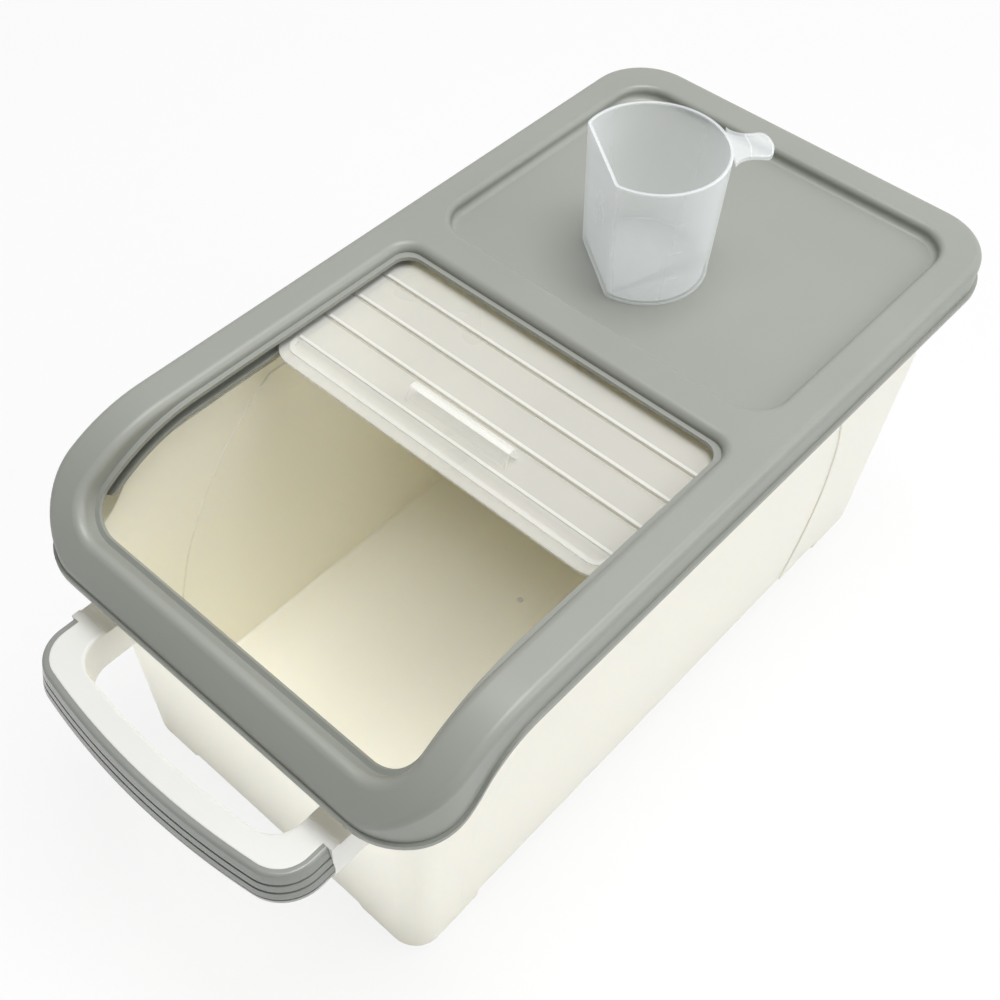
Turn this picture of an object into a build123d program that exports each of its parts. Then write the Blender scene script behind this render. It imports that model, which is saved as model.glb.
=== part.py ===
from build123d import *
import os
from math import asin, atan2, cos, degrees, radians, sin, sqrt

os.makedirs("parts", exist_ok=True)

# Rice storage bin, in millimetres. +X is the right side, -Y the front (the handle), +Z up.
# The origin is the middle of the bin's outline, on the floor under the wheels.

# Lid
lid_width = 230.0  # across the rolled edge
lid_length = 417.6  # front face to rear face
lid_top = 203.0  # height of the flat top over the floor
lid_corner = 32.0  # corner radius seen from above
lid_wall = 2.0
edge_roll = 4.0  # rounding along the top edge
flat_end = 69.6  # from the lid's front face back to where the flat top ends
front_radius = 80.0  # the top curves down to the front on this radius
bead_out = 1.5  # how far the bead along the lower edge stands out
bead_height = 2.5
skirt_depth = 18.0  # lower edge under the flat top
skirt_drop = 29.0  # how much lower the edge is at the front
drop_run = 60.0  # length over which it goes down

# Filling opening and the ledge round it
track_start = 13.0  # the track starts to curve this far behind the end of the flat top
track_depth = 10.6  # middle of the door sheet below the flat top
track_slack = 5.0  # the middle of the door sheet follows a radius larger than the lid's by this
ledge_lift = 6.0  # top of the ledge over the middle of the door sheet
ledge_thick = 2.0
ledge_width = 2.5
pocket_side = 19.8  # from the lid's sides
pocket_rear = 216.6  # from the lid's front face
pocket_front_angle = 45.9  # where the opening's front edge lies on the curve, in degrees
pocket_turn = 12.0  # from the front edge back to where the opening is cut from above, in degrees
pocket_front_corner = 18.5
pocket_rear_corner = 9.0
pocket_roll = 4.0
front_cut_length = 45.0  # the opening's front part is cut this far up the slope
border_side = 12.0  # the thick border round opening and tray, from the lid's sides
border_end = 8.0  # and from its front and rear faces

# Tray for the cup
tray_side = 18.5  # from the lid's sides
tray_front = 237.1  # from the lid's front face
tray_rear = 19.5  # from the lid's rear face
tray_depth = 7.0
tray_floor = 2.0
tray_corner = 18.0
tray_roll = 3.0

# Guide rails
rail_side = 15.7  # inner side of the upright wall from the lid's sides
rail_wall = 2.0
rail_flange_reach = 6.1  # inwards from the upright wall
rail_flange_thick = 2.0
rail_gap = 0.8  # under the door sheet
rail_seat_gap = 0.1
rail_end_angle = 37.0  # degrees along the curve
rail_end_round = 4.0
rail_rear = 15.0  # from the lid's rear face

# Door
door_play = 1.3  # between the door and each rail's upright wall
door_thick = 1.2
door_front = 127.6  # from the lid's front face, as photographed, half open
first_rib = 142.2
rib_pitch = 19.0
slat_count = 3
door_rear = 344.6
door_corner = 14.0
hinge_gap = 0.3  # between the slats, where the sheet bends
rib_width = 1.6
rib_height = 0.7
rib_end = 6.0  # from the door's sides
lip_ridge_inset = 5.5
tab_length = 58.0
tab_foot = 9.0
tab_top = 4.4
tab_height = 8.0
tab_wall = 1.3
tab_offset = 4.9  # front foot behind the first rib

# Tub
lid_fit = 0.5  # all round between the tub's rim and the lid
rim_seat_gap = 0.1
tub_wall = 2.5
rim_wall = 2.5
shoulder_below_lip = 7.0  # underside of the rim's step below the lid's lower edge
tub_side = 19.9  # the tub's sides at the feet, from the lid's sides
tub_bottom_front = 20.9  # from the lid's front face
tub_bottom_rear = 28.0  # from the lid's rear face
side_taper = 0.038  # rise over run of each wall
front_taper = 0.033
rear_taper = 0.1
tub_corner = 14.3
tub_bottom_round = 5.5
foot_clear = 3.0  # feet over the floor
foot_height = 8.0
foot_width = 31.1  # underside, across from the tub's side
foot_slope = 7.0  # how much wider the foot is at its top
foot_length = 42.0  # along the side, from the tub's front or rear end
panel_depth = 0.8
panel_radius = 165.0
panel_front = 49.6  # most forward point of the front crease, from the lid's front face
panel_rear = 89.0  # rearmost point of the rear crease, from the lid's rear face
panel_front_level = 35.0  # height of the crease's most forward point
panel_rear_level = 83.0

# Wheels
wheel_radius = 8.0
wheel_width = 8.0
wheel_round = 1.0
axle_radius = 1.5
axle_play = 0.1
axle_length = 15.0
wheel_play = 1.0
wheel_side = 16.1  # middle of the wheel from the tub's side
wheel_inset = 22.0  # axle from the tub's front or rear bottom edge
housing_wall = 2.0

# Handle
handle_side = 14.1  # widest line of the grip, from the tub's sides at the feet
handle_reach = 40.7  # from the lid's front face to the front of the grip
handle_top = 141.0
handle_height = 22.0
widest_below = 15.0  # the grip is widest this far below its top
grip_flare = 2.8  # how far its top edge lies inside its widest line
grip_tuck = 0.8  # and its lower edge
bow_radius = 376.0
bow_corner = 21.0
arm_width = 18.5  # from the grip's widest line to the hole
arm_side = 1.0  # the arms' outer faces inside the grip's widest line
hole_front = 23.9  # from the lid's front face to the front bar
hole_corner = 14.0
hole_round = 1.5
arm_step = 1.0  # the arms are lower than the bar from here back
arm_step_front = 2.6  # in front of the lid's front face
arm_root = 10.0  # the arms are drawn this far into the tub and cut off by its wall
seam_inset = 5.7  # the seam between grip and frame, inside the widest line
grip_end = 7.0  # the grip's ends, in front of the lid's front face
grip_top_round = 1.5
grip_low_round = 4.0
groove_count = 3
groove_depth = 0.7
groove_width = 1.3
groove_pitch = 4.8
groove_top = 5.6  # first groove below the handle's top

# Measuring cup
cup_x = -9.5
cup_from_tray = 51.5  # cup's middle from the tray's front wall
cup_top_radius = 34.5
cup_base_radius = 31.6
cup_height = 66.0
cup_wall = 1.5
cup_flat_top = 25.3  # from the middle to the flat side, at the rim
cup_flat_base = 23.6
cup_flat_turn = 234.4  # direction the flat side faces, in degrees
cup_edge_round = 2.5
tab_turn = 46.0  # direction of the thumb tab
thumb_reach = 19.3
thumb_root = 27.0
thumb_neck = 17.5
thumb_end = 19.0
thumb_thick = 1.8
thumb_corner = 3.5
thumb_bulge = 3.5  # the middle of the end stands out this far past its corners

# Places that follow from the sizes above
reach_total = lid_length + handle_reach + bead_out
rear_face = reach_total / 2 - bead_out
front_face = rear_face - lid_length
flat_y = front_face + flat_end
track_radius = front_radius + track_slack
track_y = flat_y + track_start
track_z = lid_top - track_depth - track_radius
curve_z = lid_top - front_radius
lip_z = lid_top - skirt_depth
low_lip_z = lip_z - skirt_drop
floor_z = lid_top - tray_depth
tub_floor_z = foot_clear + foot_height
tub_front = front_face + tub_bottom_front
tub_rear = rear_face - tub_bottom_rear
beyond = 30.0  # cutting solids reach this far past what they cut
cut_angle = 89.0  # and follow the track's curve this far round
near = 0.01  # two places closer than this are the same
half = lid_width / 2
pocket_width = lid_width - 2 * pocket_side
border_width = lid_width - 2 * border_side
tray_width = lid_width - 2 * tray_side
rail_web_inner = half - rail_side
rail_flange_inner = rail_web_inner - rail_flange_reach
door_width = 2 * (rail_web_inner - door_play)
tub_bottom_width = lid_width - 2 * tub_side
handle_width = tub_bottom_width - 2 * handle_side
hole_width = handle_width - 2 * arm_width


def plate(width, front, rear, corner):
    # Rounded outline seen from above, for a sketch
    with Locations((0, (front + rear) / 2)):
        RectangleRounded(width, rear - front, corner)


def under_top(drop, front):
    # Side view of all below the lid's top surface lowered by drop, back from front
    radius = front_radius - drop
    turn = asin((flat_y - front) / radius)
    with BuildLine() as line:
        top = Line((rear_face + beyond, lid_top - drop), (flat_y, lid_top - drop))
        curve = CenterArc((flat_y, curve_z), radius, 90, degrees(turn))
        down = Line(curve @ 1, (front, -beyond))
        Polyline(down @ 1, (rear_face + beyond, -beyond), top @ 0)
    return line.edges()


def above_lip(shift):
    # Side view of all above the lid's lower edge, moved up by shift
    front = front_face - beyond
    rear = rear_face + beyond
    high = lid_top + beyond
    with BuildLine() as line:
        level = Line((rear, lip_z + shift), (flat_y, lip_z + shift))
        upper = TangentArc(
            level @ 1,
            (flat_y - drop_run / 2, lip_z + shift - skirt_drop / 2),
            tangent=(-1, 0),
        )
        lower = TangentArc(
            upper @ 1,
            (flat_y - drop_run, low_lip_z + shift),
            tangent=upper % 1,
        )
        Polyline(lower @ 1, (front, low_lip_z + shift), (front, high), (rear, high), level @ 0)
    return line.edges()


def track_band(inner, outer, front_angle, rear):
    # Side view of a band that follows the door's track between two radii
    turn = radians(front_angle)
    with BuildLine() as line:
        low = Line((rear, track_z + inner), (track_y, track_z + inner))
        CenterArc((track_y, track_z), inner, 90, front_angle)
        Line(
            (track_y - inner * sin(turn), track_z + inner * cos(turn)),
            (track_y - outer * sin(turn), track_z + outer * cos(turn)),
        )
        CenterArc((track_y, track_z), outer, 90, front_angle)
        high = Line((track_y, track_z + outer), (rear, track_z + outer))
        Line(high @ 1, low @ 0)
    return line.edges()


def front_plane(radius):
    # Plane that touches the track's curve at the opening's front edge, its Y up the slope
    turn = radians(pocket_front_angle)
    edge = (0, track_y - radius * sin(turn), track_z + radius * cos(turn))
    return Plane(origin=edge, x_dir=(1, 0, 0), z_dir=(0, -sin(turn), cos(turn)))


def on_axis(x, y, z):
    # Plane square to the X axis, for wheels and their axles
    return Plane(origin=(x, y, z), x_dir=(0, 1, 0), z_dir=(1, 0, 0))


def on_top(edge):
    # True for an edge that lies on the lid's upper surface, inside its border
    middle = edge.position_at(0.5)
    if abs(middle.X) > border_width / 2:
        return False
    if middle.Y < front_face + edge_roll or middle.Y > rear_face - border_end:
        return False
    if middle.Y > flat_y:
        inside = abs(middle.Z - lid_top) < near
    else:
        inside = abs(sqrt((middle.Y - flat_y) ** 2 + (middle.Z - curve_z) ** 2) - front_radius) < near
    return inside and not (abs(middle.Y - flat_y) < near)


# Solids that are cut away

with BuildPart() as lid_hollow:
    with BuildSketch(Plane.XY):
        plate(
            lid_width - 2 * lid_wall,
            front_face + lid_wall,
            rear_face - lid_wall,
            lid_corner - lid_wall,
        )
    extrude(amount=lid_top)
    with BuildSketch(Plane.YZ):
        make_face(under_top(lid_wall, front_face + lid_wall))
    extrude(amount=half, both=True, mode=Mode.INTERSECT)

pocket_split = track_y - track_radius * sin(radians(pocket_front_angle - pocket_turn))


def rear_outline(inset):
    # The opening seen from above, behind the line where its front part starts
    rear = front_face + pocket_rear - inset
    with BuildSketch() as sketch:
        with Locations((0, (pocket_split + rear) / 2)):
            outline = Rectangle(pocket_width - 2 * inset, rear - pocket_split)
        fillet(outline.vertices().group_by(Axis.Y)[-1], pocket_rear_corner)
    return sketch.sketch


def front_outline(inset):
    # The opening's front part, seen square to the slope of its front edge
    plane = front_plane(track_radius).offset(-beyond)
    with BuildSketch() as sketch:
        with Locations((0, inset + front_cut_length / 2)):
            outline = Rectangle(pocket_width - 2 * inset, front_cut_length)
        fillet(outline.vertices().group_by(Axis.Y)[0], pocket_front_corner - inset)
    return plane * sketch.sketch


with BuildPart() as pocket:
    extrude(rear_outline(0), amount=lid_top + beyond)
    extrude(front_outline(0), amount=2 * beyond)
    with BuildSketch(Plane.YZ):
        make_face(track_band(track_radius + ledge_lift, track_radius + 2 * beyond, cut_angle, rear_face))
    extrude(amount=half, both=True, mode=Mode.INTERSECT)

with BuildPart() as opening:
    extrude(rear_outline(ledge_width), amount=lid_top + beyond)
    extrude(front_outline(ledge_width), amount=2 * beyond)
    with BuildSketch(Plane.YZ):
        make_face(track_band(track_radius, track_radius + 2 * beyond, cut_angle, rear_face))
    extrude(amount=half, both=True, mode=Mode.INTERSECT)

frame_low = track_radius + ledge_lift - ledge_thick

with BuildPart() as lid_border:
    with BuildSketch(Plane.XY):
        plate(
            border_width,
            front_face + border_end,
            rear_face - border_end,
            lid_corner - border_end,
        )
    extrude(amount=lid_top)
    with BuildSketch(Plane.YZ):
        make_face(under_top(lid_wall / 2, front_face + lid_wall))
    extrude(amount=half, both=True, mode=Mode.INTERSECT)
    with BuildSketch(Plane.YZ):
        make_face(track_band(frame_low, track_radius + 2 * beyond, cut_angle, rear_face))
    extrude(amount=half, both=True, mode=Mode.INTERSECT)

# The lid

with BuildPart() as lid:
    with BuildSketch(Plane.XY):
        plate(lid_width, front_face, rear_face, lid_corner)
    extrude(amount=lid_top)
    with BuildSketch(Plane.YZ):
        make_face(under_top(0, front_face))
    extrude(amount=half, both=True, mode=Mode.INTERSECT)
    top_edges = lid.edges().filter_by(lambda e: e.center().Z > curve_z / 2)
    top_edges = top_edges.filter_by(lambda e: abs(e.tangent_at(0.5).Z) < 0.99)
    top_edges = top_edges.filter_by(lambda e: abs(e.center().X) > 1 or e.center().Y > rear_face - 1
                                    or e.center().Y < front_face + 1)
    fillet(top_edges, edge_roll)
    with BuildSketch(Plane.YZ):
        make_face(above_lip(0))
    extrude(amount=half, both=True, mode=Mode.INTERSECT)

with BuildPart() as lip_bead:
    with BuildSketch(Plane.XY):
        plate(
            lid_width + 2 * bead_out,
            front_face - bead_out,
            rear_face + bead_out,
            lid_corner + bead_out,
        )
    extrude(amount=lid_top)
    with BuildSketch(Plane.YZ):
        make_face(above_lip(0))
    extrude(amount=half + beyond, both=True, mode=Mode.INTERSECT)
    with BuildSketch(Plane.YZ):
        make_face(above_lip(bead_height))
    extrude(amount=half + beyond, both=True, mode=Mode.SUBTRACT)

with lid:
    add(lip_bead.part)
    add(lid_hollow.part, mode=Mode.SUBTRACT)
    add(lid_border.part)
    with BuildSketch(Plane.XY.offset(floor_z - tray_floor)):
        plate(
            tray_width + 2 * tray_floor,
            front_face + tray_front - tray_floor,
            rear_face - tray_rear + tray_floor,
            tray_corner + tray_floor,
        )
    extrude(amount=tray_depth)
    add(pocket.part, mode=Mode.SUBTRACT)
    add(opening.part, mode=Mode.SUBTRACT)
    with BuildSketch(Plane.XY.offset(floor_z)):
        plate(tray_width, front_face + tray_front, rear_face - tray_rear, tray_corner)
    extrude(amount=beyond, mode=Mode.SUBTRACT)

    top_edges = lid.edges().filter_by(on_top)
    pocket_edges = top_edges.filter_by(lambda e: e.position_at(0.5).Y < front_face + pocket_rear + 1)
    fillet(pocket_edges, pocket_roll)
    tray_edges = lid.edges().filter_by(on_top)
    tray_edges = tray_edges.filter_by(lambda e: e.position_at(0.5).Y > front_face + tray_front - 1)
    fillet(tray_edges, tray_roll)
    tray_foot = lid.edges().filter_by(lambda e: abs(e.center().Z - floor_z) < near and e.length > 1)
    tray_foot = tray_foot.filter_by(lambda e: abs(e.bounding_box().size.Z) < near)
    fillet(tray_foot, tray_roll)

# Guide rails

rail_outer = track_radius + ledge_lift - ledge_thick - rail_seat_gap
rail_shelf = track_radius - door_thick / 2 - rail_gap
rail_low = rail_shelf - rail_flange_thick

with BuildPart() as right_guide_rail:
    with BuildSketch(Plane.YZ.offset(rail_web_inner)):
        make_face(track_band(rail_low, rail_outer, rail_end_angle, rear_face - rail_rear))
    extrude(amount=rail_wall)
    with BuildSketch(Plane.YZ.offset(rail_flange_inner)):
        make_face(track_band(rail_low, rail_shelf, rail_end_angle, rear_face - rail_rear))
    extrude(amount=rail_web_inner + rail_wall - rail_flange_inner)
    end_edges = right_guide_rail.edges().group_by(Axis.X)[0].sort_by(Axis.Y)
    fillet(end_edges[0], rail_end_round)

left_guide_rail = mirror(right_guide_rail.part, about=Plane.YZ)

# Door: a flat sheet in five pieces that meet at the ribs, where the real sheet bends

sheet_low = lid_top - track_depth - door_thick / 2
sheet_high = sheet_low + door_thick
rib_ys = [front_face + first_rib + rib_pitch * number for number in range(slat_count + 1)]
door_front_y = front_face + door_front
door_rear_y = front_face + door_rear


def cross_rib(y):
    # Rib across the door, its front at the bend line
    with BuildSketch() as sketch:
        with Locations((0, y + hinge_gap / 2 + rib_width / 2)):
            SlotOverall(door_width - 2 * rib_end, rib_width)
    return Plane.XY.offset(sheet_high) * sketch.sketch


with BuildPart() as door_front_lip:
    lip_rear = rib_ys[0] - hinge_gap / 2
    with BuildSketch(Plane.XY.offset(sheet_low)):
        with Locations((0, (door_front_y + lip_rear) / 2)):
            sheet = Rectangle(door_width, lip_rear - door_front_y)
        fillet(sheet.vertices().group_by(Axis.Y)[0], door_corner)
    extrude(amount=door_thick)
    with BuildSketch(Plane.XY.offset(sheet_high)):
        ridge_front = door_front_y + lip_ridge_inset
        with Locations((0, (ridge_front + lip_rear) / 2)):
            ridge = Rectangle(door_width - 2 * lip_ridge_inset, lip_rear - ridge_front)
        fillet(ridge.vertices().group_by(Axis.Y)[0], lip_rear - ridge_front - rib_height)
        with Locations((0, (ridge_front + lip_rear + rib_width) / 2)):
            inner = Rectangle(
                door_width - 2 * lip_ridge_inset - 2 * rib_width,
                lip_rear - ridge_front - rib_width,
                mode=Mode.PRIVATE,
            )
        inner_round = lip_rear - ridge_front - rib_width - rib_height
        inner_corners = inner.vertices().group_by(Axis.Y)[0]
        add(inner.face().fillet_2d(inner_round, inner_corners), mode=Mode.SUBTRACT)
    extrude(amount=rib_height)

slats = []
for number in range(slat_count):
    slat_front = rib_ys[number] + hinge_gap / 2
    slat_rear = rib_ys[number + 1] - hinge_gap / 2
    with BuildPart() as slat:
        with BuildSketch(Plane.XY.offset(sheet_low)):
            with Locations((0, (slat_front + slat_rear) / 2)):
                Rectangle(door_width, slat_rear - slat_front)
        extrude(amount=door_thick)
        extrude(cross_rib(rib_ys[number]), amount=rib_height)
        if number == 0:
            foot_y = rib_ys[0] + tab_offset
            with BuildSketch(Plane.YZ):
                with Locations((foot_y + tab_foot / 2, sheet_high + tab_height / 2)):
                    Trapezoid(tab_foot, tab_height, degrees(atan2(tab_height, (tab_foot - tab_top) / 2)))
                with Locations((foot_y + tab_foot / 2, sheet_high + (tab_height - tab_wall) / 2)):
                    Trapezoid(
                        tab_foot - 2 * tab_wall,
                        tab_height - tab_wall,
                        degrees(atan2(tab_height, (tab_foot - tab_top) / 2)),
                        mode=Mode.SUBTRACT,
                    )
            extrude(amount=tab_length / 2, both=True)
    slat.part.label = f"door_slat_{number + 1}"
    slats.append(slat.part)

with BuildPart() as door_rear_panel:
    panel_start = rib_ys[-1] + hinge_gap / 2
    with BuildSketch(Plane.XY.offset(sheet_low)):
        with Locations((0, (panel_start + door_rear_y) / 2)):
            Rectangle(door_width, door_rear_y - panel_start)
    extrude(amount=door_thick)
    extrude(cross_rib(rib_ys[-1]), amount=rib_height)

# Tub


def tub_level(height, inset):
    # The tub's tapered outline at a height, for the loft of its walls
    rise = height - foot_clear
    front = tub_front - front_taper * rise + inset
    rear = tub_rear + rear_taper * rise - inset
    width = tub_bottom_width + 2 * side_taper * rise - 2 * inset
    with BuildSketch() as sketch:
        plate(width, front, rear, tub_corner - inset)
    return Plane.XY.offset(height) * sketch.sketch


with BuildPart() as tub_body:
    loft([tub_level(foot_clear, 0), tub_level(lid_top, 0)])
    fillet(tub_body.faces().sort_by(Axis.Z)[0].edges(), tub_bottom_round)
    with BuildSketch(Plane.YZ):
        make_face(under_top(lid_wall + rim_seat_gap, front_face + lid_wall + lid_fit))
    extrude(amount=half, both=True, mode=Mode.INTERSECT)

rim_inset = lid_wall + lid_fit

with BuildPart() as rim_outside:
    with BuildSketch(Plane.XY):
        plate(
            lid_width - 2 * rim_inset,
            front_face + rim_inset,
            rear_face - rim_inset,
            lid_corner - rim_inset,
        )
    extrude(amount=lid_top)
    with BuildSketch(Plane.YZ):
        make_face(under_top(lid_wall + rim_seat_gap, front_face + rim_inset))
    extrude(amount=half, both=True, mode=Mode.INTERSECT)
    with BuildSketch(Plane.YZ):
        make_face(above_lip(-shoulder_below_lip))
    extrude(amount=half, both=True, mode=Mode.INTERSECT)

with BuildPart() as rim_inside:
    with BuildSketch(Plane.XY):
        plate(
            lid_width - 2 * rim_inset - 2 * rim_wall,
            front_face + rim_inset + rim_wall,
            rear_face - rim_inset - rim_wall,
            lid_corner - rim_inset - rim_wall,
        )
    extrude(amount=lid_top + beyond)
    with BuildSketch(Plane.YZ):
        make_face(above_lip(rim_wall - shoulder_below_lip))
    extrude(amount=half, both=True, mode=Mode.INTERSECT)


def side_panel(inset):
    # What lies outside the sunk panels' faces, moved inwards by inset
    face_foot = tub_bottom_width / 2 - panel_depth - inset
    face_head = face_foot + side_taper * (lid_top - foot_clear)
    with BuildPart() as zone:
        with BuildSketch(Plane.YZ):
            with Locations((front_face + panel_front + panel_radius, panel_front_level)):
                Circle(panel_radius)
            with Locations((rear_face - panel_rear - panel_radius, panel_rear_level)):
                Circle(panel_radius, mode=Mode.INTERSECT)
        extrude(amount=half, both=True)
        with BuildSketch(Plane.YZ):
            make_face(above_lip(-shoulder_below_lip - rim_wall))
        extrude(amount=half + beyond, both=True, mode=Mode.SUBTRACT)
        with BuildSketch(Plane.XZ):
            with BuildLine():
                Polyline(
                    (face_foot, foot_clear),
                    (face_head, lid_top),
                    (-face_head, lid_top),
                    (-face_foot, foot_clear),
                    (face_foot, foot_clear),
                )
            make_face()
        extrude(amount=lid_length, both=True, mode=Mode.SUBTRACT)
    return zone.part


panel_cut = side_panel(0)
panel_bulge = side_panel(tub_wall)

with BuildPart() as tub_inside:
    loft([tub_level(tub_floor_z + tub_wall, tub_wall), tub_level(lid_top + beyond, tub_wall)])
    fillet(tub_inside.faces().sort_by(Axis.Z)[0].edges(), tub_bottom_round - tub_wall)
    add(panel_bulge, mode=Mode.SUBTRACT)

axle_z = wheel_radius
wheel_x = tub_bottom_width / 2 - wheel_side
slot_side = wheel_width / 2 + wheel_play
slot_reach = wheel_radius + wheel_play
wheel_places = {
    "front_left": (-wheel_x, tub_front + wheel_inset),
    "front_right": (wheel_x, tub_front + wheel_inset),
    "rear_left": (-wheel_x, tub_rear - wheel_inset),
    "rear_right": (wheel_x, tub_rear - wheel_inset),
}

with BuildPart() as tub:
    add(tub_body.part)
    add(rim_outside.part)
    add(tub_inside.part, mode=Mode.SUBTRACT)
    add(rim_inside.part, mode=Mode.SUBTRACT)
    add(panel_cut, mode=Mode.SUBTRACT)
    foot_foot = tub_bottom_width / 2 - foot_width
    foot_head = foot_foot - foot_slope
    with BuildSketch(Plane.XZ):
        with BuildLine():
            Polyline(
                (foot_foot, 0),
                (foot_foot, foot_clear),
                (foot_head, tub_floor_z),
                (-foot_head, tub_floor_z),
                (-foot_foot, foot_clear),
                (-foot_foot, 0),
                (foot_foot, 0),
            )
        make_face()
    extrude(amount=lid_length, both=True, mode=Mode.SUBTRACT)
    with BuildSketch(Plane.XY):
        with Locations((0, (tub_front + tub_rear) / 2)):
            Rectangle(lid_width, tub_rear - tub_front - 2 * foot_length)
    extrude(amount=tub_floor_z, mode=Mode.SUBTRACT)
    for x, y in wheel_places.values():
        with BuildSketch(Plane.XY.offset(tub_floor_z)):
            with Locations((x, y)):
                Rectangle(2 * (slot_side + housing_wall), 2 * (slot_reach + housing_wall))
        extrude(amount=axle_z + slot_reach + housing_wall - tub_floor_z)
        with BuildSketch(Plane.XY):
            with Locations((x, y)):
                Rectangle(2 * slot_side, 2 * slot_reach)
        extrude(amount=axle_z + slot_reach, mode=Mode.SUBTRACT)
        with BuildSketch(on_axis(x - axle_length / 2, y, axle_z)):
            Circle(axle_radius)
        extrude(amount=axle_length, mode=Mode.SUBTRACT)

# Wheels and their pins

wheels = {}
for place, (x, y) in wheel_places.items():
    with BuildPart() as axle_pin:
        with BuildSketch(on_axis(x - axle_length / 2, y, axle_z)):
            Circle(axle_radius)
        extrude(amount=axle_length)
    with BuildPart() as wheel:
        with BuildSketch(on_axis(x - wheel_width / 2, y, axle_z)):
            Circle(wheel_radius)
        extrude(amount=wheel_width)
        fillet(wheel.edges().filter_by(GeomType.CIRCLE), wheel_round)
        with BuildSketch(on_axis(x - wheel_width / 2, y, axle_z)):
            Circle(axle_radius + axle_play)
        extrude(amount=wheel_width, mode=Mode.SUBTRACT)
    wheels["axle_pin_" + place] = axle_pin.part
    wheels["wheel_" + place] = wheel.part

# Handle

handle_bottom = handle_top - handle_height
bow_front = front_face - handle_reach
arms_rear = tub_front + arm_root
grip_cut = front_face - grip_end


def bow(inset, below):
    # The handle's outline inside its widest line, at a distance below its top, seen from above
    apex = bow_front + inset
    with BuildSketch() as sketch:
        with Locations((0, apex + bow_radius)):
            Circle(bow_radius)
        with Locations((0, (apex + arms_rear) / 2)):
            Rectangle(handle_width - 2 * inset, arms_rear - apex, mode=Mode.INTERSECT)
        fillet(sketch.vertices().group_by(Axis.Y)[0], bow_corner - inset)
    return Plane.XY.offset(handle_top - below) * sketch.sketch


def grip_inset(below):
    # How far the grip's face lies inside its widest line, at a distance below its top
    if below < widest_below:
        return grip_flare * (1 - below / widest_below)
    return grip_tuck * (below - widest_below) / (handle_height - widest_below)


with BuildPart() as bow_core:
    extrude(bow(seam_inset, handle_height), amount=handle_height)

with BuildSketch() as hole_sketch:
    hole_y = front_face - hole_front
    with Locations((0, hole_y + bow_radius)):
        Circle(bow_radius)
    with Locations((0, (hole_y + arms_rear) / 2)):
        Rectangle(hole_width, arms_rear - hole_y, mode=Mode.INTERSECT)
    fillet(hole_sketch.vertices().group_by(Axis.Y)[0], hole_corner)

with BuildPart() as handle_frame:
    add(bow_core.part)
    with BuildSketch(Plane.XY.offset(handle_bottom)):
        with Locations((0, (grip_cut + arms_rear) / 2)):
            Rectangle(handle_width - 2 * arm_side, arms_rear - grip_cut)
    extrude(amount=handle_height)
    extrude(Plane.XY.offset(handle_bottom) * hole_sketch.sketch, amount=handle_height, mode=Mode.SUBTRACT)
    hole_edges = handle_frame.edges().filter_by(
        lambda e: abs(e.tangent_at(0.5).Z) < near
        and hole_y - near < e.center().Y < arms_rear - near
        and abs(e.center().X) < hole_width / 2 + near
    )
    fillet(hole_edges, hole_round)
    with BuildSketch(Plane.XY.offset(handle_top)):
        step_y = front_face - arm_step_front
        with Locations((0, (step_y + arms_rear) / 2)):
            Rectangle(handle_width, arms_rear - step_y)
    extrude(amount=-arm_step, mode=Mode.SUBTRACT)
    add(tub_body.part, mode=Mode.SUBTRACT)

with BuildPart() as handle_grip:
    loft([bow(grip_tuck, handle_height), bow(0, widest_below)], ruled=True)
    loft([bow(0, widest_below), bow(grip_flare, 0)], ruled=True)
    low_edges = handle_grip.faces().sort_by(Axis.Z)[0].edges()
    fillet(low_edges.sort_by(Axis.Y)[:-1], grip_low_round)
    fillet(handle_grip.faces().sort_by(Axis.Z)[-1].edges().sort_by(Axis.Y)[:-1], grip_top_round)
    for number in range(groove_count):
        below = groove_top + groove_pitch * number
        groove_floor = grip_inset(below + groove_width / 2) + groove_depth
        ring = bow(-arm_width, below) - bow(groove_floor, below)
        extrude(ring, amount=-groove_width, mode=Mode.SUBTRACT)
    add(bow_core.part, mode=Mode.SUBTRACT)
    with BuildSketch(Plane.XY.offset(handle_bottom)):
        with Locations((0, (grip_cut + arms_rear + beyond) / 2)):
            Rectangle(lid_width, arms_rear + beyond - grip_cut)
    extrude(amount=handle_height, mode=Mode.SUBTRACT)

# Measuring cup

cup_y = front_face + tray_front + cup_from_tray


def cup_level(height, radius, flat):
    # The cup's outline at a height: a circle with one flat side
    turn = Location((cup_x, cup_y, 0), (0, 0, cup_flat_turn))
    with BuildSketch() as sketch:
        Circle(radius)
        with Locations((flat + radius / 2, 0)):
            Rectangle(radius, 2 * radius, mode=Mode.SUBTRACT)
        fillet(sketch.vertices(), cup_edge_round)
    return Plane.XY.offset(height) * turn * sketch.sketch


root_x = cup_top_radius - cup_wall / 2
thumb_place = Location((cup_x, cup_y, floor_z + cup_height), (0, 0, tab_turn))

with BuildSketch() as thumb_tab:
    with BuildLine():
        side = Spline(
            (root_x, -thumb_root / 2),
            (root_x + thumb_reach / 3, -thumb_neck / 2),
            (root_x + thumb_reach * 2 / 3, -thumb_neck / 2),
            (root_x + thumb_reach - thumb_bulge, -thumb_end / 2),
        )
        tip = ThreePointArc(
            side @ 1,
            (root_x + thumb_reach, 0),
            (root_x + thumb_reach - thumb_bulge, thumb_end / 2),
        )
        Spline(
            tip @ 1,
            (root_x + thumb_reach * 2 / 3, thumb_neck / 2),
            (root_x + thumb_reach / 3, thumb_neck / 2),
            (root_x, thumb_root / 2),
        )
        Line((root_x, thumb_root / 2), (root_x, -thumb_root / 2))
    make_face()
    fillet(thumb_tab.vertices().group_by(Axis.X)[-1], thumb_corner)

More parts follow.
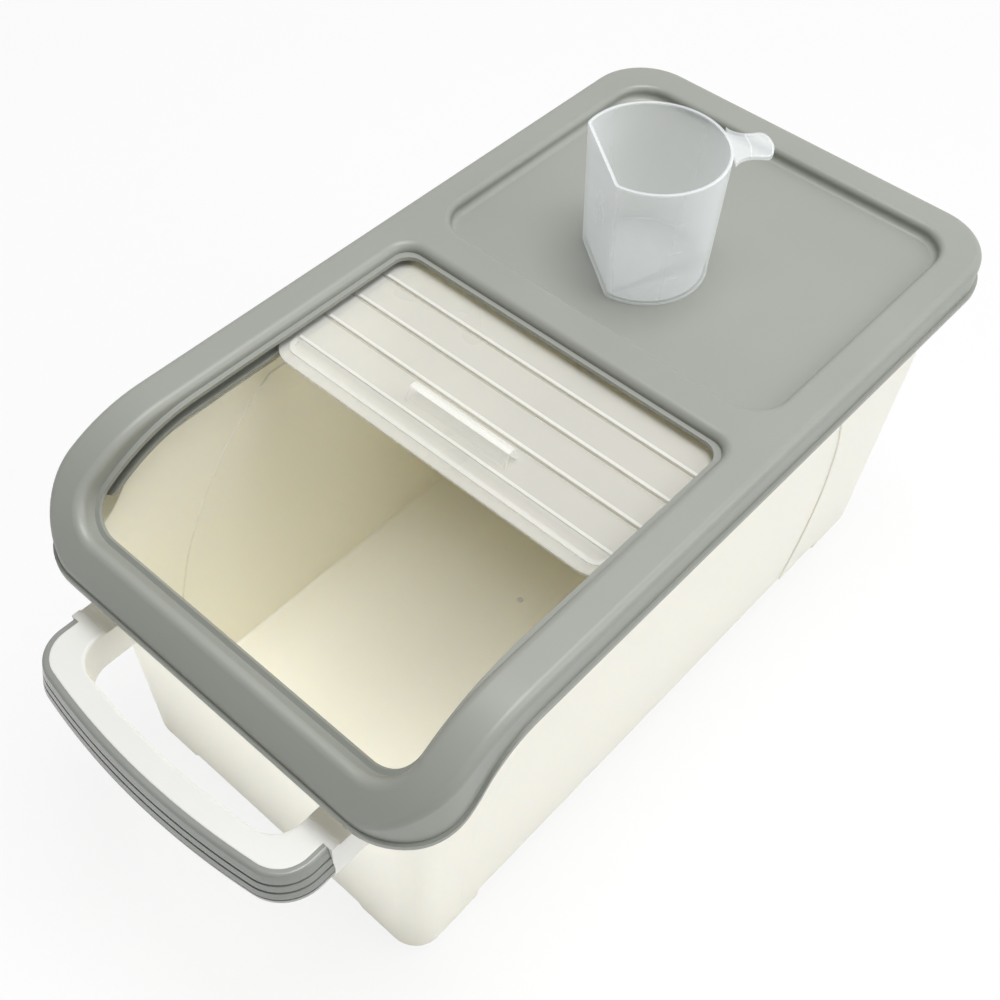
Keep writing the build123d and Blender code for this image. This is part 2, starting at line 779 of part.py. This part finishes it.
with BuildPart() as measuring_cup:
    loft([
        cup_level(floor_z, cup_base_radius, cup_flat_base),
        cup_level(floor_z + cup_height, cup_top_radius, cup_flat_top),
    ])
    extrude(thumb_tab.sketch.moved(thumb_place), amount=-thumb_thick)
    loft([
        cup_level(floor_z + cup_wall, cup_base_radius - cup_wall, cup_flat_base - cup_wall),
        cup_level(floor_z + cup_height, cup_top_radius - cup_wall, cup_flat_top - cup_wall),
    ], mode=Mode.SUBTRACT)

# Write each piece

lid.part.label = "lid"
export_step(lid.part, "parts/lid.step")
left_guide_rail.label = "left_guide_rail"
export_step(left_guide_rail, "parts/left_guide_rail.step")
right_guide_rail.part.label = "right_guide_rail"
export_step(right_guide_rail.part, "parts/right_guide_rail.step")
door_front_lip.part.label = "door_front_lip"
export_step(door_front_lip.part, "parts/door_front_lip.step")
for slat_part in slats:
    export_step(slat_part, f"parts/{slat_part.label}.step")
door_rear_panel.part.label = "door_rear_panel"
export_step(door_rear_panel.part, "parts/door_rear_panel.step")
tub.part.label = "tub"
export_step(tub.part, "parts/tub.step")
for name, piece in wheels.items():
    piece.label = name
    export_step(piece, f"parts/{name}.step")
handle_frame.part.label = "handle_frame"
export_step(handle_frame.part, "parts/handle_frame.step")
handle_grip.part.label = "handle_grip"
export_step(handle_grip.part, "parts/handle_grip.step")
measuring_cup.part.label = "measuring_cup"
export_step(measuring_cup.part, "parts/measuring_cup.step")
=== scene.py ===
import bpy
import bmesh
import math
from mathutils import Matrix, Vector


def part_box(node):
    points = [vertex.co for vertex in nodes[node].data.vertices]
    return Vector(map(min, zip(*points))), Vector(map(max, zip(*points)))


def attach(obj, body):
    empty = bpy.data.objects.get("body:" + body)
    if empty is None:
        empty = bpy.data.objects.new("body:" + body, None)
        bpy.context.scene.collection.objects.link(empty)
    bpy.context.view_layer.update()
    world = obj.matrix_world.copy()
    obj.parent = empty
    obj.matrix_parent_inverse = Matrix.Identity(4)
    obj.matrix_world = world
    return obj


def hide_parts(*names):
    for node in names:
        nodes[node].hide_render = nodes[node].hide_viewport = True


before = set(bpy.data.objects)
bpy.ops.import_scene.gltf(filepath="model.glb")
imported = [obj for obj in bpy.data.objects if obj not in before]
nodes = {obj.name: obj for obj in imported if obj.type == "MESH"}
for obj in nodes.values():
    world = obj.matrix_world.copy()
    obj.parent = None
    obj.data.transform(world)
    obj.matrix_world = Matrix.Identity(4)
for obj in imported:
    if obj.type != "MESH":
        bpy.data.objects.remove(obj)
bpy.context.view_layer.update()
print("frame loaded,", len(nodes), "pieces")


# Materials

plasticIor = 1.49


def newMaterial(name):
    material = bpy.data.materials.new(name)
    material.use_nodes = True
    tree = material.node_tree
    tree.nodes.clear()
    output = tree.nodes.new("ShaderNodeOutputMaterial")
    shader = tree.nodes.new("ShaderNodeBsdfPrincipled")
    tree.links.new(shader.outputs["BSDF"], output.inputs["Surface"])
    return material, tree, shader


def addNode(tree, kind, **settings):
    node = tree.nodes.new(kind)
    for name, value in settings.items():
        setattr(node, name, value)
    return node


def noise(tree, scale, detail=3.0, roughness=0.55, stretch=(1, 1, 1)):
    # Noise in the object's own metres; returns its value
    coords = addNode(tree, "ShaderNodeTexCoord")
    mapping = addNode(tree, "ShaderNodeMapping")
    mapping.inputs["Scale"].default_value = stretch
    texture = addNode(tree, "ShaderNodeTexNoise")
    texture.inputs["Scale"].default_value = scale
    texture.inputs["Detail"].default_value = detail
    texture.inputs["Roughness"].default_value = roughness
    tree.links.new(coords.outputs["Object"], mapping.inputs["Vector"])
    tree.links.new(mapping.outputs["Vector"], texture.inputs["Vector"])
    return texture.outputs["Fac"]


def spread(tree, value, low, high):
    # A 0-1 value spread between low and high
    node = addNode(tree, "ShaderNodeMapRange")
    node.inputs["From Min"].default_value = 0.3
    node.inputs["From Max"].default_value = 0.7
    node.inputs["To Min"].default_value = low
    node.inputs["To Max"].default_value = high
    tree.links.new(value, node.inputs["Value"])
    return node.outputs["Result"]


def mixColour(tree, value, first, second):
    node = addNode(tree, "ShaderNodeMix", data_type="RGBA")
    node.inputs["A"].default_value = (*first, 1)
    node.inputs["B"].default_value = (*second, 1)
    tree.links.new(value, node.inputs["Factor"])
    return node.outputs["Result"]


def bump(tree, value, depth, under):
    # Height from a value, laid over the normal of a node under it
    node = addNode(tree, "ShaderNodeBump")
    node.inputs["Distance"].default_value = depth
    node.inputs["Strength"].default_value = 1.0
    tree.links.new(value, node.inputs["Height"])
    tree.links.new(under.outputs["Normal"], node.inputs["Normal"])
    return node.outputs["Normal"]


def backgroundRays(tree):
    # 1 for rays that show the background: straight, mirrored or through glass; else 0
    rays = addNode(tree, "ShaderNodeLightPath")
    mirrored = addNode(tree, "ShaderNodeMath", operation="MAXIMUM")
    tree.links.new(rays.outputs["Is Glossy Ray"], mirrored.inputs[0])
    tree.links.new(rays.outputs["Is Transmission Ray"], mirrored.inputs[1])
    shown = addNode(tree, "ShaderNodeMath", operation="MAXIMUM")
    tree.links.new(rays.outputs["Is Camera Ray"], shown.inputs[0])
    tree.links.new(mirrored.outputs["Value"], shown.inputs[1])
    return shown.outputs["Value"]


def plastic(name, look):
    # Moulded plastic: a little cloudiness in colour and gloss, and a fine grain
    material, tree, shader = newMaterial(name)
    cloud = noise(tree, look["cloudScale"])
    grain = noise(tree, look["grainScale"], detail=2.0)
    tree.links.new(mixColour(tree, spread(tree, cloud, 0, 1), look["dark"], look["light"]),
                   shader.inputs["Base Color"])
    tree.links.new(spread(tree, cloud, look["smooth"], look["rough"]), shader.inputs["Roughness"])
    softNormal = addNode(tree, "ShaderNodeBevel", samples=4)  # rounds the creases a little
    softNormal.inputs["Radius"].default_value = look["softEdge"]
    tree.links.new(bump(tree, grain, look["grainDepth"], softNormal), shader.inputs["Normal"])
    shader.inputs["IOR"].default_value = plasticIor
    if "glow" in look:  # light that soaks into milky plastic
        shader.inputs["Subsurface Weight"].default_value = look["glow"]
        shader.inputs["Subsurface Radius"].default_value = look["glowSpread"]
        shader.inputs["Subsurface Scale"].default_value = look["glowDepth"]
    return material


def clearPlastic(name, look):
    # Cloudy clear plastic: see-through, denser where it is seen edge on, and with a painted glow
    material, tree, shader = newMaterial(name)
    cloud = noise(tree, look["cloudScale"])
    tree.links.new(mixColour(tree, spread(tree, cloud, 0, 1), look["dark"], look["light"]),
                   shader.inputs["Base Color"])
    tree.links.new(spread(tree, cloud, look["smooth"], look["rough"]), shader.inputs["Roughness"])
    facing = addNode(tree, "ShaderNodeLayerWeight")
    facing.inputs["Blend"].default_value = look["edgeBlend"]
    density = addNode(tree, "ShaderNodeMapRange")
    density.inputs["To Min"].default_value = look["density"]
    density.inputs["To Max"].default_value = look["edgeDensity"]
    tree.links.new(facing.outputs["Facing"], density.inputs["Value"])
    tree.links.new(density.outputs["Result"], shader.inputs["Alpha"])
    shader.inputs["IOR"].default_value = plasticIor
    # Painted glow: emission in the plastic's light tone, standing in for the light that scatters
    # inside cloudy plastic
    shader.inputs["Emission Color"].default_value = (*look["light"], 1)
    shader.inputs["Emission Strength"].default_value = look["paintedGlow"]
    return material


def paint(names, material):
    # One material on each of these CAD pieces
    for name in names:
        mesh = nodes[name].data
        if not mesh.materials:
            mesh.materials.append(material)
        for place in nodes[name].material_slots:
            place.link = "OBJECT"
            place.material = material


lidLook = {
    "light": (0.318, 0.330, 0.298),
    "dark": (0.300, 0.311, 0.280),
    "smooth": 0.36,
    "rough": 0.42,
    "cloudScale": 9.0,
    "grainScale": 1400.0,
    "grainDepth": 0.00002,
    "softEdge": 0.0004,
}
lidPlastic = plastic("lidPlastic", lidLook)
paint(["lid", "left_guide_rail", "right_guide_rail"], lidPlastic)

tubLook = {
    "light": (0.965, 0.935, 0.825),
    "dark": (0.955, 0.925, 0.805),
    "smooth": 0.30,
    "rough": 0.36,
    "cloudScale": 7.0,
    "grainScale": 1100.0,
    "grainDepth": 0.000015,
    "softEdge": 0.0008,
    "glow": 0.5,
    "glowDepth": 0.005,
    "glowSpread": (1.0, 0.85, 0.6),
}
tubPlastic = plastic("tubPlastic", tubLook)
paint(["tub"], tubPlastic)

handleLook = {
    "light": (0.80, 0.80, 0.775),
    "dark": (0.78, 0.78, 0.755),
    "smooth": 0.28,
    "rough": 0.34,
    "cloudScale": 20.0,
    "grainScale": 1400.0,
    "grainDepth": 0.00001,
    "softEdge": 0.0008,
}
paint(["handle_frame"], plastic("handlePlastic", handleLook))

gripLook = {
    "light": (0.280, 0.292, 0.270),
    "dark": (0.260, 0.271, 0.250),
    "smooth": 0.20,
    "rough": 0.26,
    "cloudScale": 24.0,
    "grainScale": 1600.0,
    "grainDepth": 0.00001,
    "softEdge": 0.0003,
}
paint(["handle_grip"], plastic("gripPlastic", gripLook))

doorLook = {
    "light": (0.93, 0.93, 0.90),
    "dark": (0.90, 0.905, 0.875),
    "smooth": 0.26,
    "rough": 0.34,
    "cloudScale": 14.0,
    "density": 0.27,
    "edgeDensity": 0.75,
    "edgeBlend": 0.3,
    "paintedGlow": 0.0,
}
doorPlastic = clearPlastic("doorPlastic", doorLook)
filmLook = {**doorLook, "density": 0.22, "edgeDensity": 0.5}
ribLook = {**doorLook, "density": 0.42, "edgeDensity": 0.8}
ridgeLook = {**doorLook, "density": 0.28, "edgeDensity": 0.7}
# The pull tab has a painted glow: emission that lightens its legs where they face away from the
# lamps
tabLook = {**doorLook, "density": 0.16, "edgeDensity": 0.6, "paintedGlow": 0.2}
filmPlastic = clearPlastic("filmPlastic", filmLook)
ribPlastic = clearPlastic("ribPlastic", ribLook)
ridgePlastic = clearPlastic("ridgePlastic", ridgeLook)
tabPlastic = clearPlastic("tabPlastic", tabLook)
doorFinishes = (doorPlastic, filmPlastic, ribPlastic, ridgePlastic, tabPlastic)
filmFinish, ribFinish, ridgeFinish, tabFinish = 1, 2, 3, 4
doorPieces = [name for name in nodes if name.startswith("door_")]
paint(doorPieces, doorPlastic)

cupLook = {
    "light": (0.93, 0.96, 0.975),
    "dark": (0.91, 0.94, 0.955),
    "smooth": 0.20,
    "rough": 0.28,
    "cloudScale": 30.0,
    "density": 0.14,
    "edgeDensity": 0.8,
    "edgeBlend": 0.28,
    # The cup and its edge beads have a painted glow: emission that brightens them beyond what the
    # lamps give
    "paintedGlow": 0.12,
}
cupPlastic = clearPlastic("cupPlastic", cupLook)
paint(["measuring_cup"], cupPlastic)
cupEdgeLook = {**cupLook, "density": 0.14, "edgeDensity": 0.45}
cupEdgePlastic = clearPlastic("cupEdgePlastic", cupEdgeLook)

wheelLook = {
    "light": (0.20, 0.20, 0.195),
    "dark": (0.17, 0.17, 0.165),
    "smooth": 0.40,
    "rough": 0.55,
    "cloudScale": 60.0,
    "grainScale": 2000.0,
    "grainDepth": 0.00002,
    "softEdge": 0.0003,
}
paint([name for name in nodes if name.startswith("wheel_")], plastic("wheelPlastic", wheelLook))

pinLook = {
    "dark": (0.55, 0.55, 0.55),
    "light": (0.65, 0.65, 0.65),
    "rough": 0.3,
    "streakScale": 900.0,
    "streakStretch": (1, 8, 8),
}
pinMaterial, pinTree, pinShader = newMaterial("pinSteel")
streaks = noise(pinTree, pinLook["streakScale"], stretch=pinLook["streakStretch"])
pinTree.links.new(mixColour(pinTree, streaks, pinLook["dark"], pinLook["light"]),
                  pinShader.inputs["Base Color"])
pinShader.inputs["Metallic"].default_value = 1.0
pinShader.inputs["Roughness"].default_value = pinLook["rough"]
paint([name for name in nodes if name.startswith("axle_pin_")], pinMaterial)
print("materials ready")


# Shapes drawn in code

creaseAngle = 40.0  # creases sharper than this, in degrees, get a soft edge


def drawAcross(build, points, left, right, finish=0):
    # A closed outline in Y and Z, drawn from left to right
    ends = [[build.verts.new((x, y, z)) for y, z in points] for x in (left, right)]
    faces = [build.faces.new(ends[0]), build.faces.new(list(reversed(ends[1])))]
    for n in range(len(points)):
        m = (n + 1) % len(points)
        faces.append(build.faces.new((ends[0][n], ends[1][n], ends[1][m], ends[0][m])))
    for face in faces:
        face.material_index = finish


def drawUp(build, points, low, high, edgeFinish=0):
    # A closed outline seen from above, drawn from low to high
    ends = [[build.verts.new((x, y, z)) for x, y in points] for z in (low, high)]
    build.faces.new(ends[0])
    build.faces.new(list(reversed(ends[1])))
    for n in range(len(points)):
        m = (n + 1) % len(points)
        edge = build.faces.new((ends[0][n], ends[1][n], ends[1][m], ends[0][m]))
        edge.material_index = edgeFinish


def bar(front, rear, low, high):
    # The four corners of a bar's end
    return [(front, low), (rear, low), (rear, high), (front, high)]


def makePiece(name, build, finishes, body, edge=0.0):
    # A piece from its drawn faces, with edges rounded by this much
    bmesh.ops.recalc_face_normals(build, faces=build.faces)
    mesh = bpy.data.meshes.new(name)
    build.to_mesh(mesh)
    build.free()
    for material in finishes:
        mesh.materials.append(material)
    piece = bpy.data.objects.new(name, mesh)
    bpy.context.scene.collection.objects.link(piece)
    if edge:
        soften = piece.modifiers.new("softEdges", "BEVEL")
        soften.width = edge
        soften.segments = 2
        soften.limit_method = "ANGLE"
        soften.angle_limit = math.radians(creaseAngle)
    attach(piece, body)
    return piece


# Door: frosted strips with a raised rib along each front edge, and a thin clear
# strip behind each, where the sheet bends

door = {
    "sheetThick": 0.0012,
    "filmLength": 0.0014,
    "filmThick": 0.0008,
    "ribWidth": 0.0016,
    "ribHeight": 0.0007,
    "sunk": 0.0003,  # how far ribs and ridge reach into the sheet
    "ribEnd": 0.006,
    "ridgeInset": 0.0055,
    "ridgeWidth": 0.0024,
    "ridgeTail": 0.0005,  # straight length behind the ridge's corners
    "cornerRadius": 0.014,
    "edge": 0.00018,
}
tab = {
    "length": 0.058,
    "footFromRib": 0.00475,
    "foot": 0.009,
    "top": 0.0044,
    "height": 0.0083,
    "wall": 0.0013,
    "innerSlant": 0.7,  # how far the inner corners move in, in walls
    "edge": 0.00025,
}


def cornerPoints(x, y, radius, start, count=10):
    # A quarter round corner about (x, y)
    turns = [math.radians(start + 90 * n / count) for n in range(count + 1)]
    return [(x + radius * math.cos(turn), y + radius * math.sin(turn)) for turn in turns]


def frontOutline(side, front, rear, radius):
    # From the right rear corner round the front to the left rear corner
    middle = front + radius
    right = list(reversed(cornerPoints(side - radius, middle, radius, 270)))
    left = list(reversed(cornerPoints(radius - side, middle, radius, 180)))
    return [(side, rear)] + right + left + [(-side, rear)]


for name in doorPieces:
    low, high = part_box(name)
    sheetLow = low.z
    sheetHigh = sheetLow + door["sheetThick"]
    ribFoot = sheetHigh - door["sunk"]
    ribTop = sheetHigh + door["ribHeight"]
    side = high.x
    body = "door" if name == "door_rear_panel" else name
    film = 0 if name == "door_rear_panel" else door["filmLength"]
    build = bmesh.new()
    if name == "door_front_lip":
        outline = frontOutline(side, low.y, high.y - film, door["cornerRadius"])
        drawUp(build, outline, sheetLow, sheetHigh, edgeFinish=ribFinish)
        ridgeSide = side - door["ridgeInset"]
        ridgeFront = low.y + door["ridgeInset"]
        ridgeRear = high.y - film
        radius = ridgeRear - ridgeFront - door["ridgeTail"]
        ridgeWidth = door["ridgeWidth"]
        outer = frontOutline(ridgeSide, ridgeFront, ridgeRear, radius)
        inner = frontOutline(ridgeSide - ridgeWidth, ridgeFront + ridgeWidth, ridgeRear,
                             radius - ridgeWidth)
        ridgeLow = [[build.verts.new((x, y, ribFoot)) for x, y in line] for line in (outer, inner)]
        ridgeTop = [[build.verts.new((x, y, ribTop)) for x, y in line] for line in (outer, inner)]
        ridgeFaces = []
        for n in range(len(outer) - 1):
            for first, second in ((ridgeLow[0], ridgeTop[0]), (ridgeTop[0], ridgeTop[1]),
                                  (ridgeTop[1], ridgeLow[1]), (ridgeLow[1], ridgeLow[0])):
                corners = (first[n], first[n + 1], second[n + 1], second[n])
                ridgeFaces.append(build.faces.new(corners))
        for n in (0, -1):
            corners = (ridgeLow[0][n], ridgeTop[0][n], ridgeTop[1][n], ridgeLow[1][n])
            ridgeFaces.append(build.faces.new(corners))
        for face in ridgeFaces:
            face.material_index = ridgeFinish
    else:
        drawAcross(build, bar(low.y, high.y - film, sheetLow, sheetHigh), -side, side)
        ribSide = side - door["ribEnd"]
        ribEnds = bar(low.y, low.y + door["ribWidth"], ribFoot, ribTop)
        drawAcross(build, ribEnds, -ribSide, ribSide, finish=ribFinish)
    if film:
        filmEnds = bar(high.y - film, high.y, sheetLow, sheetLow + door["filmThick"])
        drawAcross(build, filmEnds, -side, side, finish=filmFinish)
    piece = makePiece(name + "_sheet", build, doorFinishes, body, door["edge"])
    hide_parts(name)

# Pull tab: a low arch that stands on the sheet

low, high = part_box("door_slat_1")
tabFoot = low.y + tab["footFromRib"]
tabBase = low.z + door["sheetThick"] - door["sunk"]
slant = (tab["foot"] - tab["top"]) / 2
wall = tab["wall"]
tabOutline = [
    (tabFoot, tabBase),
    (tabFoot + slant, tabBase + tab["height"]),
    (tabFoot + tab["foot"] - slant, tabBase + tab["height"]),
    (tabFoot + tab["foot"], tabBase),
    (tabFoot + tab["foot"] - wall, tabBase),
    (tabFoot + tab["foot"] - slant - tab["innerSlant"] * wall, tabBase + tab["height"] - wall),
    (tabFoot + slant + tab["innerSlant"] * wall, tabBase + tab["height"] - wall),
    (tabFoot + wall, tabBase),
]
build = bmesh.new()
drawAcross(build, tabOutline, -tab["length"] / 2, tab["length"] / 2, finish=tabFinish)
build.faces.ensure_lookup_table()
for end in build.faces[:2]:
    end.material_index = ribFinish
piece = makePiece("door_pull_tab", build, doorFinishes, "door_slat_1", tab["edge"])
print("door ready")


# Measuring cup: rim and base edges, scale marks and the pad on the thumb tab

cup = {
    "x": -0.0095,
    "y": 0.0994,
    "flatTurn": 234.4,
    "rimRadius": 0.0345,
    "rimFlat": 0.0253,
    "baseRadius": 0.0316,
    "baseFlat": 0.0236,
    "height": 0.066,
    "beadRadius": 0.0006,
    "footInset": 0.6,  # how far the base's bead lies inside the wall, in its own radii
    "markTurn": -30.0,
    "markLevels": (0.016, 0.032, 0.048),
    "markWidth": 0.0065,
    "markRadius": 0.00018,
    "tabTurn": 46.0,
    "padInner": 0.0415,
    "padOuter": 0.0515,
    "padWidth": 0.0155,
    "padCorner": 0.002,
    "padOuterBow": 0.001,
    "padInnerBow": 0.0012,
    "padBelowRim": 0.00035,
    "padRadius": 0.0004,
}
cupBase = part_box("measuring_cup")[0].z
cupMiddle = Vector((cup["x"], cup["y"]))


def cupOutline(radius, flat, corner=0.0025, count=72):
    # The cup seen from above: round, with one flat side and two rounded corners
    edge = math.acos(flat / radius)
    cut = corner / radius
    first = edge + cut
    sweep = 2 * math.pi - 2 * edge - 2 * cut
    turns = [first + sweep * n / count for n in range(count + 1)]
    points = [Vector((radius * math.cos(turn), radius * math.sin(turn))) for turn in turns]
    half = radius * math.sin(edge)
    arcStart, arcStop = points[0], points[-1]
    lowTip, highTip = Vector((flat, -half)), Vector((flat, half))
    lowSide, highSide = Vector((flat, -half + corner)), Vector((flat, half - corner))

    def rounded(start, tip, stop):
        shares = [n / 4 for n in (1, 2, 3)]
        return [start * (1 - t) ** 2 + tip * 2 * t * (1 - t) + stop * t ** 2 for t in shares]

    points += rounded(arcStop, lowTip, lowSide) + [lowSide, highSide]
    points += rounded(highSide, highTip, arcStart)
    spin = Matrix.Rotation(math.radians(cup["flatTurn"]), 2)
    return [spin @ point + cupMiddle for point in points]


def bead(name, points, radius, material, body, closed=True):
    # A fine rounded edge along a line of points
    line = bpy.data.curves.new(name, "CURVE")
    line.dimensions = "3D"
    line.bevel_depth = radius
    line.bevel_resolution = 3
    spline = line.splines.new("POLY")
    spline.points.add(len(points) - 1)
    for place, point in zip(spline.points, points):
        place.co = (*point, 1)
    spline.use_cyclic_u = closed
    line.use_fill_caps = not closed
    line.materials.append(material)
    piece = bpy.data.objects.new(name, line)
    bpy.context.scene.collection.objects.link(piece)
    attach(piece, body)
    return piece


beadRadius = cup["beadRadius"]
rimZ = cupBase + cup["height"] - beadRadius
rimLine = cupOutline(cup["rimRadius"] - beadRadius, cup["rimFlat"] - beadRadius)
rim = [(*point, rimZ) for point in rimLine]
bead("cup_rim_edge", rim, beadRadius, cupEdgePlastic, "cup")
footZ = cupBase + beadRadius
footInset = beadRadius * cup["footInset"]
footLine = cupOutline(cup["baseRadius"] - footInset, cup["baseFlat"] - footInset)
foot = [(*point, footZ) for point in footLine]
bead("cup_base_edge", foot, beadRadius, cupEdgePlastic, "cup")

for number, level in enumerate(cup["markLevels"]):
    radius = cup["baseRadius"] + (cup["rimRadius"] - cup["baseRadius"]) * level / cup["height"]
    halfTurn = cup["markWidth"] / radius / 2
    turns = [math.radians(cup["markTurn"]) + halfTurn * (n / 4 - 1) for n in range(9)]
    mark = [(cup["x"] + radius * math.cos(turn), cup["y"] + radius * math.sin(turn),
             cupBase + level) for turn in turns]
    piece = bead(f"cup_mark_{number + 1}", mark, cup["markRadius"], cupEdgePlastic, "cup",
                 closed=False)

angle = math.radians(cup["tabTurn"])
outward = Vector((math.cos(angle), math.sin(angle)))
aside = Vector((-outward.y, outward.x))
padInner, padOuter = cup["padInner"], cup["padOuter"]
padLine = [
    (padInner, -1),
    (padOuter - cup["padCorner"], -1),
    (padOuter, -0.75),
    (padOuter + cup["padOuterBow"], 0),
    (padOuter, 0.75),
    (padOuter - cup["padCorner"], 1),
    (padInner, 1),
    (padInner + cup["padInnerBow"], 0),
]
pad = []
for along, across in padLine:
    point = cupMiddle + outward * along + aside * across * cup["padWidth"] / 2
    pad.append((*point, cupBase + cup["height"] - cup["padBelowRim"]))
bead("cup_tab_edge", pad, cup["padRadius"], cupEdgePlastic, "cup")
print("cup ready")


# Tub floor: the small round mould mark

tubMarks = {
    "gate": (-0.0006, 0.0120),
    "gateRadius": 0.0021,
    "gateTop": 0.7,  # share of the radius that is left at its top
    "gateHeight": 0.0004,
    "floorInside": 0.0135,
}
build = bmesh.new()
bmesh.ops.create_cone(build, cap_ends=True, segments=32, radius1=tubMarks["gateRadius"],
                      radius2=tubMarks["gateTop"] * tubMarks["gateRadius"],
                      depth=tubMarks["gateHeight"] * 2)
bmesh.ops.translate(build, verts=build.verts, vec=(*tubMarks["gate"], tubMarks["floorInside"]))
piece = makePiece("tub_gate_mark", build, (tubPlastic,), "base")
print("tub floor mark ready")


# Floor, world, lights and camera

stage = {
    "floorSize": 8.0,
    "floorColour": (0.86, 0.86, 0.855),
    "floorDapple": 0.985,
    "floorScale": 3.0,
    "floorRough": 0.6,
    "floorWhite": 0.85,  # share of plain white in the floor, as the camera sees it
    "worldStrength": 0.22,
    "worldColour": (1.0, 1.0, 1.0),
}
floorMesh = bpy.data.meshes.new("floor")
build = bmesh.new()
bmesh.ops.create_grid(build, x_segments=8, y_segments=8, size=stage["floorSize"] / 2)
build.to_mesh(floorMesh)
build.free()
floor = bpy.data.objects.new("floor", floorMesh)
bpy.context.scene.collection.objects.link(floor)
floorMaterial, floorTree, floorShader = newMaterial("floorPaint")
dappled = tuple(stage["floorDapple"] * part for part in stage["floorColour"])
tone = mixColour(floorTree, noise(floorTree, stage["floorScale"]), stage["floorColour"], dappled)
floorTree.links.new(tone, floorShader.inputs["Base Color"])
floorShader.inputs["Roughness"].default_value = stage["floorRough"]
whiteShare = addNode(floorTree, "ShaderNodeMath", operation="MULTIPLY")
whiteShare.inputs[1].default_value = stage["floorWhite"]
whiteGlow = addNode(floorTree, "ShaderNodeEmission")
whiteGlow.inputs["Strength"].default_value = 1.0
floorMix = addNode(floorTree, "ShaderNodeMixShader")
floorOutput = next(node for node in floorTree.nodes if node.type == "OUTPUT_MATERIAL")
floorTree.links.new(backgroundRays(floorTree), whiteShare.inputs[0])
floorTree.links.new(whiteShare.outputs["Value"], floorMix.inputs["Fac"])
floorTree.links.new(floorShader.outputs["BSDF"], floorMix.inputs[1])
floorTree.links.new(whiteGlow.outputs["Emission"], floorMix.inputs[2])
floorTree.links.new(floorMix.outputs["Shader"], floorOutput.inputs["Surface"])
floorMesh.materials.append(floorMaterial)

world = bpy.data.worlds.new("studio")
bpy.context.scene.world = world
world.use_nodes = True
worldTree = world.node_tree
worldTree.nodes.clear()
worldOutput = worldTree.nodes.new("ShaderNodeOutputWorld")
softLight = addNode(worldTree, "ShaderNodeBackground")
softLight.inputs["Color"].default_value = (*stage["worldColour"], 1)
softLight.inputs["Strength"].default_value = stage["worldStrength"]
backdrop = addNode(worldTree, "ShaderNodeBackground")
backdrop.inputs["Color"].default_value = (1, 1, 1, 1)
backdrop.inputs["Strength"].default_value = 1.0
worldMix = addNode(worldTree, "ShaderNodeMixShader")
worldTree.links.new(backgroundRays(worldTree), worldMix.inputs["Fac"])
worldTree.links.new(softLight.outputs["Background"], worldMix.inputs[1])
worldTree.links.new(backdrop.outputs["Background"], worldMix.inputs[2])
worldTree.links.new(worldMix.outputs["Shader"], worldOutput.inputs["Surface"])


def areaLight(name, place, target, size, power):
    data = bpy.data.lights.new(name, "AREA")
    data.shape = "SQUARE"
    data.size = size
    data.energy = power
    light = bpy.data.objects.new(name, data)
    light.location = place
    light.rotation_euler = (Vector(target) - Vector(place)).to_track_quat("-Z", "Y").to_euler()
    bpy.context.scene.collection.objects.link(light)
    return light


lamps = {
    "sideLamp": {"place": (1.5, 0.7, 1.2), "target": (0, 0, 0.1), "size": 1.2, "power": 13.0},
    "topLamp": {"place": (0.15, 0.25, 2.0), "target": (0, -0.05, 0.1), "size": 1.0, "power": 29.5},
}
for name, lamp in lamps.items():
    areaLight(name, **lamp)

# White cards lying on the floor, which throw light back up
cards = {
    "frontCard": {"x": 0.0, "y": -0.50, "size": 0.5, "power": 1.1},
    "sideCard": {"x": 0.45, "y": 0.0, "size": 0.5, "power": 0.25},
}
cardHeight = 0.003
for name, card in cards.items():
    place = (card["x"], card["y"], cardHeight)
    above = (card["x"], card["y"], 1.0)
    light = areaLight(name, place, above, card["size"], card["power"])
    light.visible_camera = False
    light.visible_glossy = False

photoView = {
    "place": (0.2752, -0.3383, 0.6420),
    "azimuth": 39.92,  # degrees round from the front, to the right
    "elevation": 50.62,
    "roll": 2.48,
    "lens": 50.49,
}
turn = math.radians(photoView["azimuth"])
rise = math.radians(photoView["elevation"])
tilt = math.radians(photoView["roll"])
reach = math.cos(rise)
ahead = -Vector((math.sin(turn) * reach, -math.cos(turn) * reach, math.sin(rise)))
level = ahead.cross(Vector((0, 0, 1))).normalized()
down = ahead.cross(level)
right = level * math.cos(tilt) - down * math.sin(tilt)
low = level * math.sin(tilt) + down * math.cos(tilt)
cameraData = bpy.data.cameras.new("photoCamera")
cameraData.lens = photoView["lens"]
cameraData.sensor_width = 36.0
cameraData.clip_start = 0.01
camera = bpy.data.objects.new("photoCamera", cameraData)
facing = Matrix((right, -low, -ahead)).transposed().to_4x4()
camera.matrix_world = Matrix.Translation(photoView["place"]) @ facing
bpy.context.scene.collection.objects.link(camera)
bpy.context.scene.camera = camera
bpy.context.scene.view_settings.view_transform = "Standard"
cycles = bpy.context.scene.cycles  # light goes round many times inside a white tub
cycles.max_bounces = 24
cycles.diffuse_bounces = 20
print("floor, lights and camera ready")
